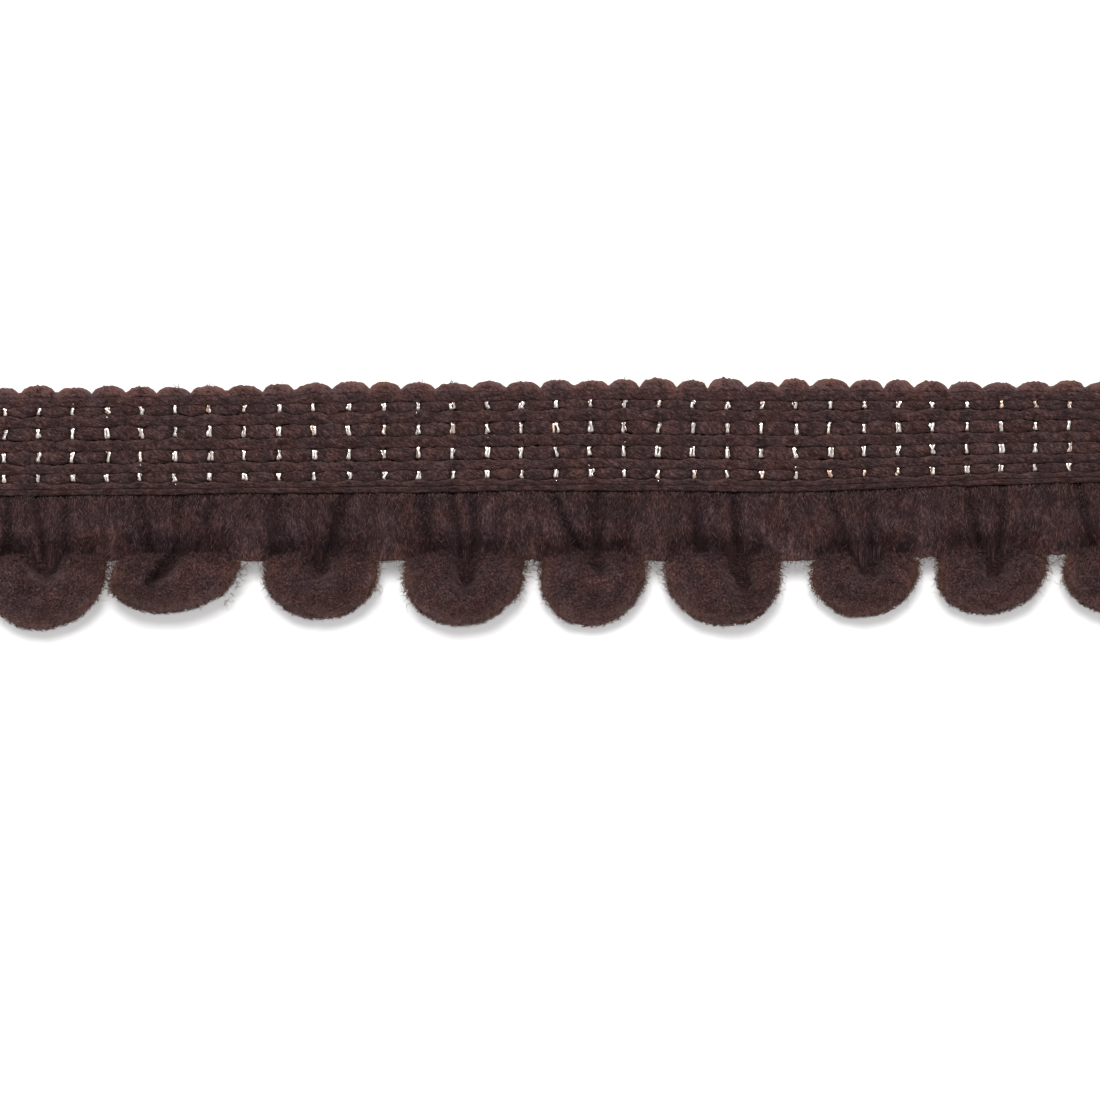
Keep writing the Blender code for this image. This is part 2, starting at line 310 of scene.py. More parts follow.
def metalMaterial(name, look):
    # flat metallised film: champagne to copper by the tint attribute, with fine creases
    material = bpy.data.materials.new(name)
    material.use_nodes = True
    nodes, links = material.node_tree.nodes, material.node_tree.links
    shader = nodes["Principled BSDF"]
    shader.inputs["Metallic"].default_value = 1.0
    tint = nodes.new("ShaderNodeAttribute")
    tint.attribute_name = "tint"
    ramp = nodes.new("ShaderNodeValToRGB")
    stops = ramp.color_ramp.elements
    stops[0].position, stops[0].color = 0.0, (*look["copper"], 1)
    stops[1].position, stops[1].color = 0.6, (*look["champagne"], 1)
    links.new(tint.outputs["Fac"], ramp.inputs["Fac"])
    links.new(ramp.outputs["Color"], shader.inputs["Base Color"])
    place = nodes.new("ShaderNodeTexCoord")
    creases = nodes.new("ShaderNodeTexNoise")
    creases.inputs["Scale"].default_value = look["creaseScale"]
    creases.inputs["Detail"].default_value = 2.0
    links.new(place.outputs["Object"], creases.inputs["Vector"])
    gloss = nodes.new("ShaderNodeMapRange")
    gloss.inputs["To Min"].default_value = look["roughness"][0]
    gloss.inputs["To Max"].default_value = look["roughness"][1]
    links.new(creases.outputs["Fac"], gloss.inputs["Value"])
    links.new(gloss.outputs["Result"], shader.inputs["Roughness"])
    bump = nodes.new("ShaderNodeBump")
    bump.inputs["Strength"].default_value = 0.35
    bump.inputs["Distance"].default_value = 0.02 * millimetre
    links.new(creases.outputs["Fac"], bump.inputs["Height"])
    links.new(bump.outputs["Normal"], shader.inputs["Normal"])
    return material


yarnLook = {
    "dark": (0.012, 0.0050, 0.0052), "usual": (0.047, 0.0236, 0.0232), "light": (0.15, 0.078, 0.072),
    "roughness": 0.85, "specular": 0.15, "sheen": 0.18, "sheenTint": (0.75, 0.48, 0.45),
    "follow": True, "streakScale": (3.4, 5.5, 5.5), "streakShare": 3.3,
    "patchScale": 900.0, "patchShare": 0.6, "bump": 0.9, "bumpDepth": 0.14,
    "castScale": 420.0, "greyCast": (0.90, 0.97, 1.06), "redCast": (1.10, 1.00, 0.95),
    "rimColour": (0.23, 0.098, 0.036),
}
feltLook = {
    "dark": (0.014, 0.0070, 0.0082), "usual": (0.0415, 0.0213, 0.0217), "light": (0.15, 0.080, 0.075),
    "roughness": 0.95, "specular": 0.1, "sheen": 0.15, "sheenTint": (0.75, 0.46, 0.43),
    "follow": True, "streakScale": (5.0, 2.6, 4.0), "streakShare": 2.0,
    "patchScale": 600.0, "patchShare": 0.5, "bump": 0.8, "bumpDepth": 0.1,
    "castScale": 420.0, "greyCast": (0.90, 0.97, 1.06), "redCast": (1.10, 1.00, 0.95),
    "rimColour": (0.23, 0.098, 0.036),
}
pileLook = {
    "dark": (0.014, 0.0068, 0.0080), "usual": (0.060, 0.0305, 0.0303), "light": (0.19, 0.102, 0.096),
    "roughness": 0.95, "specular": 0.1, "sheen": 0.18, "sheenTint": (0.75, 0.46, 0.43),
    "follow": False, "streakScale": (4600.0, 4600.0, 4600.0), "streakShare": 2.8,
    "patchScale": 600.0, "patchShare": 0.35, "bump": 0.8, "bumpDepth": 0.1,
    "castScale": 420.0, "greyCast": (0.90, 0.97, 1.06), "redCast": (1.10, 1.00, 0.95),
    "rimColour": (0.23, 0.098, 0.036),
}
metalLook = {
    "copper": (0.75, 0.36, 0.20), "champagne": (0.97, 0.90, 0.84),
    "creaseScale": 3500.0, "roughness": (0.12, 0.4),
}
braidYarn = woolMaterial("braidYarn", yarnLook)
skirtWool = woolMaterial("skirtWool", feltLook)
pompomWool = woolMaterial("pompomWool", pileLook)
weftMetal = metalMaterial("weftMetal", metalLook)



braid = {
    "stepsPerPick": 16, "crowding": 0.45,   # steps stand closer round each pick
    "around": 16, "topHeavy": 0.4,          # and closer on the upper side
    "plies": 3,
    "twistPitch": 6.5,      # length of one whole turn of the plies
    "plyRelief": 0.08,      # how deep the furrow between plies is, as a share of the radius
    "feltRelief": 0.15,     # how rough the yarn is between its plies
    "fullness": 1.14,       # how far neighbouring yarns swell into each other
    "swing": 0.65,          # how much of the swing in the table below the yarns make
    "sway": 0.07,
    "pinchDepth": 0.3, "pinchReach": 0.085,     # a sunken yarn under a bright thread
    "creaseDepth": 0.22, "creaseReach": 0.13,   # the fold in the yarns between bright threads
    "edgeUneven": 0.42,     # how much the scallops differ in height
    "archShade": 0.42,      # how much darker the line under the scallops is
    "cuspStray": 0.09,      # how far the dips between scallops stray, as a share of a pick
}

# lengthwise yarns from the seam up: low and high edge above the seam at a pick, the same
# between picks, height of the middle at a pick and between, half thickness, and tint.
# The last one bows out round each pick and makes the scallops; its higher tint is painted light on them
yarnTable = np.array([
    (0.00, 0.62, 0.02, 0.58, 1.18, 1.12, 0.46, 0.50),
    (0.58, 1.26, 0.52, 1.04, 1.38, 1.16, 0.52, 0.52),
    (1.30, 2.16, 1.05, 2.20, 0.92, 1.34, 0.58, 0.50),
    (2.12, 3.22, 2.26, 3.06, 1.44, 1.10, 0.60, 0.50),
    (3.34, 4.50, 3.11, 4.48, 0.92, 1.38, 0.62, 0.50),
    (4.55, 5.66, 4.52, 5.58, 1.44, 1.10, 0.60, 0.50),
    (5.74, 6.94, 5.62, 6.98, 0.92, 1.38, 0.62, 0.50),
    (7.02, 8.24, 7.02, 7.94, 1.44, 1.10, 0.62, 0.50),
    (8.30, 9.06, 7.98, 9.12, 0.92, 1.34, 0.58, 0.50),
    (9.08, 10.10, 9.12, 10.02, 1.26, 1.12, 0.58, 0.52),
    (9.98, 11.12, 9.55, 10.10, 0.98, 0.62, 0.60, 0.88),
])


def yarnSurface(number, row, seed):
    # a twisted yarn along x: an oval section whose edges and height swing between their values
    # at the picks and between them, with a furrow wherever cos(plies/2 * (angle - twist)) is 0
    lowPick, highPick, lowBetween, highBetween, risePick, riseBetween, halfThick, tint = row
    draw = np.random.default_rng(seed)
    isEdge = number == len(yarnTable) - 1
    steps = round(trim["picks"] * braid["stepsPerPick"])
    ends = phaseAt(np.array([leftEnd + 0.05, -leftEnd - 0.05]))
    phase = np.linspace(*ends, steps + 1)
    phase = phase - braid["crowding"] * np.sin(2 * np.pi * phase) / (2 * np.pi)
    phase[[0, -1]] = ends
    x = xAtPhase(phase)[:, None]
    phase = phase[:, None]
    between = 0.5 - 0.5 * np.cos(2 * np.pi * phase)
    if isEdge:
        cusps = np.arange(round(trim["picks"]) + 2) - 0.5
        bow = np.interp(phase, cusps + draw.uniform(-1, 1, len(cusps)) * braid["cuspStray"], cusps)
        between = 1 - (1 - np.minimum(np.abs(bow - np.round(bow)) * 1.97, 1) ** 2.4) ** 0.5
    else:
        between = 0.5 + braid["swing"] * (between - 0.5)
    low = mix(lowPick, lowBetween, between)
    high = mix(highPick, highBetween, between)
    scale = courseAt(x, 2) / trim["usualBraid"]
    pick = np.arange(round(trim["picks"]) + 2)
    uneven = np.interp(phase, pick, draw.uniform(-1, 1, len(pick))) * braid["sway"]
    y = seamAt(x) + (low + high) / 2 * scale + uneven
    z = mix(risePick, riseBetween, between) + 0.05 * grain(phase * 1.7, seed, seed)
    half = (high - low) / 2 * scale * braid["fullness"] * (1 + 0.09 * grain(phase * 2.3, seed + 0.5, seed))
    if isEdge:
        taller = draw.uniform(-1, 1, len(pick))[np.round(phase).astype(int)] * braid["edgeUneven"] * (1 - between)
        half = half + taller / 4
        y = y + taller / 4
    angle = np.linspace(0, 2 * np.pi, braid["around"], endpoint=False)[None, :]
    angle = angle + braid["topHeavy"] * np.cos(angle)
    twist = 2 * np.pi * x / braid["twistPitch"] + draw.uniform(0, 6) + 0.5 * grain(phase, seed + 0.3, seed)
    crest = np.abs(np.cos(0.5 * braid["plies"] * (angle - twist))) ** 0.7
    radius = 1 - braid["plyRelief"] * (1 - crest)
    felted = grain(x / 0.28, angle * 2.2, seed) + 0.7 * grain(x / 0.13, angle * 4.0, seed + 1)
    radius = radius + braid["feltRelief"] * felted
    toPick = phase - np.round(phase)
    if number in weft["overRows"]:
        pinch = bell(toPick, braid["pinchReach"]) + 0 * angle
        z = z - braid["pinchDepth"] * pinch
    else:
        pinch = bell(toPick, braid["creaseReach"]) * bell(np.cos(angle), 0.22) * (np.sin(angle) > 0)
        radius = radius - braid["creaseDepth"] * pinch
    px = np.broadcast_to(x, radius.shape)
    py = y + half * radius * np.cos(angle)
    pz = np.maximum(z + halfThick * radius * np.sin(angle), 0.02)
    points = np.stack([px, py, pz], axis=-1).reshape(-1, 3)
    strand = np.stack([px, np.cos(angle - twist), np.sin(angle - twist) + seed], axis=-1).reshape(-1, 3)
    # the tint is painted shade in the furrows between plies and where the yarn is pinched or creased, painted
    # light and shade on the raised felting and its dips, and random patches
    tints = tint - 0.12 * (1 - crest) + 0.16 * felted + 0.08 * grain(x * 1.3, seed, seed) - 0.3 * pinch
    # painted shade on the scallop yarn's underside and along the line under the scallops, on both yarns that meet
    # there
    underSide = smoothStep(-np.sin(angle), -0.15, 0.25)
    if isEdge:
        tints = tints - braid["archShade"] * smoothStep(-np.cos(angle), 0.35, 0.8) - 0.4 * underSide
    if number == len(yarnTable) - 2:
        tints = tints - braid["archShade"] * smoothStep(np.cos(angle), 0.7, 0.97)
    # painted warm light on the scallops' outer side
    rim = isEdge * 0.5 * smoothStep(np.cos(angle), 0.3, 0.9) * (0.5 + 0.5 * grain(x * 0.9, angle, 31))
    rim = rim * (1 - underSide)
    return points, tubeFaces(steps + 1, braid["around"]), tints.ravel(), strand, (rim + 0 * x).ravel()


def joinSurfaces(parts):
    # several surfaces as one: points after one another, faces counted on from them
    starts = np.cumsum([0] + [len(part[0]) for part in parts[:-1]])
    points = np.concatenate([part[0] for part in parts])
    faces = np.concatenate([part[1] + start for part, start in zip(parts, starts)])
    tints = np.concatenate([part[2] for part in parts])
    strand = np.concatenate([part[3] for part in parts])
    rim = np.concatenate([part[4] for part in parts])
    return points, faces, tints, strand, rim


def makeYarns():
    yarns = [yarnSurface(number, row, 20 + number) for number, row in enumerate(yarnTable)]
    pieces = []
    for name, group in (("yarns_lower", yarns[:6]), ("yarns_upper", yarns[6:])):
        points, faces, tints, strand, rim = joinSurfaces(group)
        pieces.append(makePiece(name, points, faces, braidYarn, tints, strand, rim))
    return pieces


backing = {"low": 0.25, "high": 10.2, "thickness": 0.55, "relief": 0.16, "around": 40, "stepsPerPick": 6}


def makeBacking():
    # the woven back as a flat closed band: underside lifted by relief * (1 - floats), where the
    # floats of neighbouring rows stand at turns, and the upper side lies hidden under the yarns
    steps = round(trim["picks"] * backing["stepsPerPick"])
    x = np.linspace(leftEnd + 0.1, -leftEnd - 0.1, steps + 1)[:, None]
    angle = np.linspace(0, 2 * np.pi, backing["around"], endpoint=False)[None, :]
    across = 0.5 + 0.5 * np.cos(angle)
    scale = courseAt(x, 2) / trim["usualBraid"]
    y = seamAt(x) + mix(backing["low"], backing["high"], across) * scale
    rows = across * 9
    phase = phaseAt(x)
    floats = 0.5 + 0.5 * np.cos(2 * np.pi * (phase + 0.5 * np.floor(rows)))
    floats = floats * np.sin(np.pi * rows) ** 2
    under = backing["relief"] * (1 - floats)
    swell = np.abs(np.sin(angle)) ** 0.3
    z = np.where(np.sin(angle) > 0, mix(0.3, backing["thickness"], swell), mix(0.3, under, swell))
    points = np.stack(np.broadcast_arrays(x, y, z), axis=-1).reshape(-1, 3)
    strand = np.stack(np.broadcast_arrays(x, 3 * y, 0 * y), axis=-1).reshape(-1, 3)
    tints = np.broadcast_to(0.3 + 0.2 * floats, z.shape).ravel()
    return makePiece("braid_back", points, tubeFaces(steps + 1, backing["around"]), braidYarn,
                     tints, strand)


weft = {
    "strands": 2,           # films lying side by side in one thread
    "spread": 0.05,         # how far apart they lie
    "halfWidth": (0.15, 0.28),
    "halfThick": 0.035,
    "stray": 0.10,
    "wiggle": 0.06,
    "top": 1.62,            # height where it passes over a yarn
    "sunk": 1.05,           # height where it goes under the next
    "along": 11,
    "around": 6,
    "overRows": (2, 4, 6, 8),       # yarns that the bright thread passes over
    "glints": 12,           # specks of film that peep out beside a thread
    "glintSize": 0.085,
}


def glintPoints(picks, draw):
    # a speck is a tiny oval tube with rounded ends, just above or below a bright thread
    count = weft["glints"]
    x = draw.choice(picks[1:], count) + draw.normal(0, 0.1, count)
    edges = yarnTable[list(weft["overRows"])][:, :2].ravel()
    above = edges[draw.integers(0, len(edges), count)]
    above = above + np.where(np.isin(above, yarnTable[:, 1]), 0.32, -0.32)
    y = seamAt(x) + above * courseAt(x, 2) / trim["usualBraid"]
    size = draw.uniform(0.6, 1.3, count) * weft["glintSize"]
    t = np.linspace(-1, 1, weft["along"])[None, :, None]
    angle = np.linspace(0, 2 * np.pi, weft["around"], endpoint=False)[None, None, :]
    swell = np.sqrt(1.02 - t ** 2) * size[:, None, None]
    px = x[:, None, None] + swell * np.cos(angle)
    py = y[:, None, None] + t * size[:, None, None] * 0.8 + 0 * angle
    pz = 2.0 + 0.4 * swell * np.sin(angle)
    return np.stack(np.broadcast_arrays(px, py, pz), axis=-1).reshape(-1, 3)


def makeWeft():
    # a film over each sunken yarn at each pick: x wanders along y, the height falls away at both
    # ends as top - (top - sunk) * |2t - 1|^8, and the section is a flat oval
    draw = np.random.default_rng(71)
    picks = np.clip(xAtPhase(np.arange(math.ceil(trim["picks"]))), leftEnd + 0.4, -leftEnd - 0.4)
    t = np.linspace(0, 1, weft["along"])
    parts, tints, tops = [], [], []
    for row in weft["overRows"]:
        low, high = yarnTable[row, 0:2]
        for strandNumber in range(weft["strands"]):
            count = len(picks)
            side = (strandNumber - 0.5) * 2 * weft["spread"]
            offset = side + draw.normal(0, weft["stray"] / 2, count)
            bend = draw.normal(0, 1, (count, 4)) * weft["wiggle"]
            x = picks[:, None] + offset[:, None] + bend[:, :1] * np.sin(np.pi * t)[None]
            x = x + bend[:, 1:2] * np.sin(2 * np.pi * t)[None] + bend[:, 2:3] * np.cos(3 * np.pi * t)[None] * 0.6
            scale = courseAt(x, 2) / trim["usualBraid"]
            reach = draw.uniform(0.75, 1.05, (count, 1))
            middle = (low + high) / 2 + draw.normal(0, 0.05, (count, 1))
            y = seamAt(x) + (middle + (t[None] - 0.5) * (high - low + 0.34) * reach) * scale
            z = weft["top"] - (weft["top"] - weft["sunk"]) * np.abs(2 * t - 1)[None] ** 8
            z = z + 0.05 * draw.normal(0, 1, (count, 1)) + 0.03 * strandNumber
            half = draw.uniform(*weft["halfWidth"], (count, weft["along"]))
            half = (half + np.roll(half, 1, axis=1)) / 2 * (0.8 + 0.4 * np.abs(2 * t - 1)[None] ** 2)
            angle = np.linspace(0, 2 * np.pi, weft["around"], endpoint=False)
            px = x[..., None] + half[..., None] * np.cos(angle)
            py = np.broadcast_to(y[..., None], px.shape)
            roll = draw.normal(0, 0.25, (count, 1, 1))
            pz = z[..., None] + weft["halfThick"] * np.sin(angle) + roll * half[..., None] * np.cos(angle)
            parts.append(np.stack([px, py, pz], axis=-1).reshape(-1, 3))
            shade = draw.beta(3.0, 1.0, (count, 1, 1)) - 0.8 * np.abs(np.cos(angle)) ** 4
            tints.append(np.broadcast_to(shade, px.shape).ravel())
            tops.append(count)
    parts.append(glintPoints(picks, draw))
    tints.append(np.full(len(parts[-1]), 0.8))
    tops.append(weft["glints"])
    faces = repeatFaces(tubeFaces(weft["along"], weft["around"]), sum(tops), weft["along"] * weft["around"])
    return makePiece("metallic_weft", np.concatenate(parts), faces, weftMetal, np.concatenate(tints))


yarnHair = {"count": 6500, "edgeShare": 0.22, "length": (0.25, 0.8), "thickness": (0.03, 0.06), "lift": 0.13}


def makeYarnHairs(yarnPieces):
    # short fibres that stand off the yarns: root on a yarn, tip drifting along and away from it
    draw = np.random.default_rng(83)
    count = yarnHair["count"]
    row = draw.integers(0, len(yarnTable), count)
    row = np.where(draw.uniform(0, 1, count) < yarnHair["edgeShare"], len(yarnTable) - 1, row)
    x = draw.uniform(leftEnd + 0.6, -leftEnd - 0.6, count)
    phase = phaseAt(x)
    between = 0.5 - 0.5 * np.cos(2 * np.pi * phase)
    table = yarnTable[row]
    low, high = mix(table[:, 0], table[:, 2], between), mix(table[:, 1], table[:, 3], between)
    rise = mix(table[:, 4], table[:, 5], between)
    angle = draw.uniform(0.1, np.pi - 0.1, count)
    angle = np.where(row == len(yarnTable) - 1, draw.uniform(-0.4, np.pi - 0.3, count), angle)
    scale = courseAt(x, 2) / trim["usualBraid"]
    half = (high - low) / 2
    y = seamAt(x) + ((low + high) / 2 + half * np.cos(angle)) * scale
    z = rise + table[:, 6] * np.sin(angle)
    roots = np.stack([x, y, z], axis=-1)
    outward = np.stack([0 * x, np.cos(angle), np.sin(angle)], axis=-1)
    length = draw.uniform(*yarnHair["length"], count)[:, None]
    heading = unit(draw.normal(0, 1, (count, 3)) * (1.0, 0.5, 0.15))
    middles = roots + heading * length * 0.5 + outward * yarnHair["lift"] * 0.6
    tips = roots + heading * length + outward * yarnHair["lift"] * draw.uniform(0.2, 1.6, count)[:, None]
    thickness = draw.uniform(*yarnHair["thickness"], count)
    points, faces = needles(roots - outward * 0.03, middles, tips, thickness)
    tints = np.repeat(draw.normal(0.56, 0.3, count), 7)
    strand = np.repeat(roots, 7, axis=0)
    return makePiece("yarn_hairs", points, faces, braidYarn, tints, strand)



skirt = {
    "thickness": 1.2,
    "rootHeight": 1.1,
    "hemHeight": 4.3,
    "strandPull": 0.45, "strandReach": 2.6,
    "tongueHalfWidth": 1.0, "tongueShare": 0.8, "tongueLean": 0.85, "tongueStart": 0.78, "tongueRise": 1.3,
    "clumpRise": 0.45, "clumpReach": 3.2, "clumpStart": 0.2,
    "tieDip": 2.4, "tieDipStart": 0.5, "tieDipReach": 0.48,
    "creaseDepth": 0.65, "creaseReach": 0.07,
    "endSink": 2.3, "endReach": 3.5,
    "underBraid": 0.1,      # how far the strands run on under the braid, as a share of the skirt
    "columns": 560, "around": 48,
    "ruffle": 0.25, "fibreRelief": 0.12, "hemDrop": 0.2,
    # painted shade: how much darker furrows, the hollow above a pompom and the strands in its groove are, and how
    # much darker towards the braid and lighter towards the hem the skirt is
    "furrowShade": 0.44, "hollowShade": 0.24, "tongueShade": 0.24, "fallShade": 0.2,
}

# furrows between bundles of strands: x at the braid and at the hem, depth, half width
furrowTable = np.array([
    (-58.4, -58.3, 0.80, 0.50), (-55.6, -54.8, 0.80, 0.35), (-52.6, -52.1, 0.55, 0.40),
    (-44.9, -43.9, 0.80, 0.60), (-40.8, -41.3, 0.45, 0.60), (-37.6, -38.9, 0.40, 0.60),
    (-31.0, -31.4, 0.80, 0.70), (-27.6, -27.2, 0.35, 0.40), (-24.2, -25.5, 1.10, 0.75),
    (-16.4, -15.4, 0.85, 0.65), (-13.2, -12.3, 0.85, 0.45), (-10.9, -10.7, 0.85, 0.50),
    (-2.9, -0.1, 1.05, 0.45), (1.6, 1.9, 0.70, 0.80), (4.9, 4.3, 0.45, 0.90),
    (11.3, 12.2, 0.80, 0.60), (15.5, 16.2, 0.95, 0.60),
    (25.7, 26.9, 0.70, 0.40), (29.7, 29.6, 0.60, 0.40), (34.0, 33.0, 0.35, 0.50),
    (39.4, 40.4, 0.90, 0.60), (43.1, 42.7, 0.80, 0.50),
    (50.9, 51.9, 0.80, 0.50), (56.0, 55.6, 0.60, 0.50), (60.4, 59.8, 0.60, 0.50),
])


def nearestTuft(x):
    return np.abs(np.asarray(x)[..., None] - tuftTable[:, 3]).argmin(axis=-1)


def skirtHeight(x, depth, offset, tuft):
    # height of the middle of the thickness: a slope from root to hem, clumps standing up
    # between ties, furrows, a crease beside the braid and a dip behind each pompom
    away = np.abs(offset)
    atEnd = smoothStep(np.abs(x), -leftEnd - skirt["endReach"], -leftEnd)
    height = mix(skirt["rootHeight"], skirt["hemHeight"] - skirt["endSink"] * atEnd, depth)
    swing = np.sin(np.pi * (np.clip(depth, 0, 1) + skirt["clumpStart"]) / 1.3)
    height = height + skirt["clumpRise"] * (1 - bell(away, skirt["clumpReach"])) * swing
    cut = 0
    for top, low, furrowDepth, halfWidth in furrowTable:
        cut = cut + furrowDepth * bell(x - mix(top, low, depth), halfWidth)
    cut = np.minimum(cut, 1.2) * smoothStep(depth, -0.15, 0.15)
    height = height - cut - skirt["creaseDepth"] * bell(depth + 0.02, skirt["creaseReach"])
    overTuft = bell(x - tuft[..., 0], skirt["tieDipReach"] * tuft[..., 1], power=6)
    dipped = depth + 0.07 * grain(x / 1.3, 4.5, 12)
    height = height - skirt["tieDip"] * overTuft * smoothStep(dipped, skirt["tieDipStart"], 1.0)
    hollow = overTuft * smoothStep(dipped, 0.54, 0.8) * (0.85 + 0.4 * grain(x / 1.6, depth * 3, 14))
    # the second value is painted shade in the furrows and the hollow above each pompom
    return height, skirt["furrowShade"] * cut + skirt["hollowShade"] * hollow


def skirtMiddle(x, depth):
    # a strand that leaves the seam at x leans towards the nearest tie and, where it meets the
    # tie, reaches past the hem as a tongue; ruffles and locks are noise that runs with the strands
    tuft = tuftTable[nearestTuft(x)]
    offset = x - tuft[..., 3]
    root, hem = seamAt(x) - 0.3, hemAt(x)
    hemShift = 0.14 * grain(x / 0.55, 3.5, 5) + 0.1 * grain(x / 1.7, 7.5, 6) - skirt["hemDrop"]
    y = root + (hem - root + hemShift) * depth
    z, shade = skirtHeight(x, depth, offset, tuft)
    full = np.sin(np.pi * np.clip(depth, 0, 1))
    z = z + skirt["ruffle"] * grain(x / 1.1, depth * 1.4, 8) * full
    tongue = skirt["tongueShare"] * bell(offset, skirt["tongueHalfWidth"] * tuft[..., 6], power=4)
    tongue = tongue * smoothStep(depth, skirt["tongueStart"], 1.0)
    y = y - tongue * (hem - trim["seamY"] - tuft[..., 5])
    z = z + tongue ** 2 * skirt["tongueRise"]
    lean = tongue * skirt["tongueLean"] * (tuft[..., 4] - tuft[..., 3])
    pull = offset * skirt["strandPull"] * bell(offset, skirt["strandReach"]) * depth ** 2
    # painted shade on the strands in a pompom's groove, darker towards the braid and lighter towards the hem
    shade = shade + skirt["tongueShade"] * tongue + skirt["fallShade"] * (0.45 - depth)
    return x + lean - pull, y, z, shade


def makeSkirtFelt():
    # a closed band: the section goes round from the root over the face to the hem and back
    # below, with thickness/2 * |sin|^0.35 on either side of the middle surface
    x = np.linspace(leftEnd + 0.05, -leftEnd - 0.05, skirt["columns"] + 1)[:, None]
    angle = np.linspace(0, 2 * np.pi, skirt["around"], endpoint=False)[None, :]
    depth = mix(-skirt["underBraid"], 1.0, 0.5 - 0.5 * np.cos(angle)) + 0 * x
    x = x + 0 * angle
    px, py, pz, shade = skirtMiddle(x, depth)
    relief = skirt["fibreRelief"] * (grain(x / 0.25, depth * 7, 9) + 0.8 * grain(x / 0.6, depth * 6, 10))
    side = np.sign(np.sin(angle)) * np.abs(np.sin(angle)) ** 0.35 + 0 * x
    pz = np.maximum(pz + side * (skirt["thickness"] / 2 + relief * (side > 0)), 0.02)
    points = np.stack([px, py, pz], axis=-1).reshape(-1, 3)
    # tint: a base less the painted shade, lighter where the fibre relief stands up and darker in its dips,
    # painted light and shade
    tints = 0.49 - shade + 1.0 * relief
    strand = np.stack([x, depth * 6.8, side], axis=-1).reshape(-1, 3)
    faces = tubeFaces(skirt["columns"] + 1, skirt["around"])
    # painted warm light along the hem
    rim = 0.3 * smoothStep(depth, 0.97, 1.0) * (0.6 + 0.4 * grain(x * 0.8, 2.5, 33))
    return makePiece("skirt_felt", points, faces, skirtWool, tints.ravel(), strand, rim.ravel())


def skirtTop(x, depth, lift):
    px, py, pz, shade = skirtMiddle(x, depth)
    edge = np.sqrt(np.clip(1 - np.clip(depth, 0, 1) ** 12, 0, 1))
    pz = np.maximum(pz + skirt["thickness"] / 2 * edge + lift, 0.05)
    return np.stack([px, py, pz], axis=-1), shade


strands = {"count": 17000, "length": (0.35, 1.25), "thickness": (0.045, 0.09), "drift": 0.32, "lift": 0.15}


def makeSkirtStrands():
    # brushed fibres lying down the skirt, each on three points of its face
    draw = np.random.default_rng(91)
    count = strands["count"]
    x = draw.uniform(leftEnd + 0.4, -leftEnd - 0.4, count)
    start = draw.uniform(-0.06, 0.97, count)
    span = draw.uniform(*strands["length"], count) / 6.9
    span = np.minimum(span, 1.04 - start)
    drift = draw.normal(0, strands["drift"], count)
    lift = np.abs(draw.normal(0, 1, count)) * strands["lift"]
    roots, shade = skirtTop(x, start, -0.03)
    middles = skirtTop(x + drift * 0.6, start + span / 2, 0.03 + lift * 0.5)[0]
    tips = skirtTop(x + drift, start + span, lift)[0]
    points, faces = needles(roots, middles, tips, draw.uniform(*strands["thickness"], count))
    # each strand takes on the painted shade of the felt under it, on top of random tone
    tints = draw.normal(0.53, 0.23, count) - shade
    strand = np.repeat(roots, 7, axis=0)
    return makePiece("skirt_strands", points, faces, skirtWool, np.repeat(tints, 7), strand)


wisps = {
    "count": 800, "length": (0.5, 1.9), "thickness": 0.055, "rings": 7,
    "curl": (0.14, 0.42), "turns": (3.0, 9.0), "reach": 5.0,
}


def makeWisps():
    # loose curly hairs beside the pompoms: along a line, swung by curl * sin and cos of turns * t
    draw = np.random.default_rng(97)
    count = wisps["count"]
    tuft = tuftTable[draw.integers(0, len(tuftTable), count)]
    side = draw.choice([-1.0, 1.0], count)
    below = draw.beta(1.0, 2.2, count) * wisps["reach"]
    edge = tuft[:, 0] + side * (tuft[:, 1] / 2 + 0.05 - 0.04 * below ** 2) + tuft[:, 7] * (below / 8 - 0.3)
    x = edge + side * (below < 0.5) * draw.uniform(0, 1.4, count)
    x = np.clip(x, leftEnd + 1, -leftEnd - 1)
    roots = np.stack([x, hemAt(x) + 0.2 - below, draw.uniform(1.5, 4.2, count)], axis=-1)
    forward = unit(draw.normal(0, 0.5, (count, 3)) + np.stack([side, 0 * side - 0.5, 0 * side], axis=-1))
    sideways = unit(np.cross(forward, draw.normal(0, 1, (count, 3))))
    upward = np.cross(forward, sideways)
    t = np.linspace(0, 1, wisps["rings"])[None, :, None]
    length = draw.uniform(*wisps["length"], (count, 1, 1))
    turns = draw.uniform(*wisps["turns"], (count, 1, 1))
    swing = draw.uniform(*wisps["curl"], (count, 1, 1))
    line = roots[:, None] + forward[:, None] * length * t * 0.8
    line = line + swing * (sideways[:, None] * np.sin(turns * t) + upward[:, None] * (np.cos(turns * t) - 1))
    spoke = np.radians([0, 120, 240])[None, None, :, None]
    ring = sideways[:, None, None] * np.cos(spoke) + upward[:, None, None] * np.sin(spoke)
    points = line[:, :, None] + ring * wisps["thickness"] / 2 * (1.15 - t[..., None])
    points = points.reshape(-1, 3)
    points[:, 2] = np.maximum(points[:, 2], 0.05)
    faces = repeatFaces(tubeFaces(wisps["rings"], 3), count, wisps["rings"] * 3)
    tints = np.repeat(draw.normal(0.6, 0.15, count), wisps["rings"] * 3)
    strand = np.repeat(roots, wisps["rings"] * 3, axis=0)
    # the wisps carry painted warm rim light
    return makePiece("skirt_wisps", points, faces, skirtWool, tints, strand, rim=0.4)


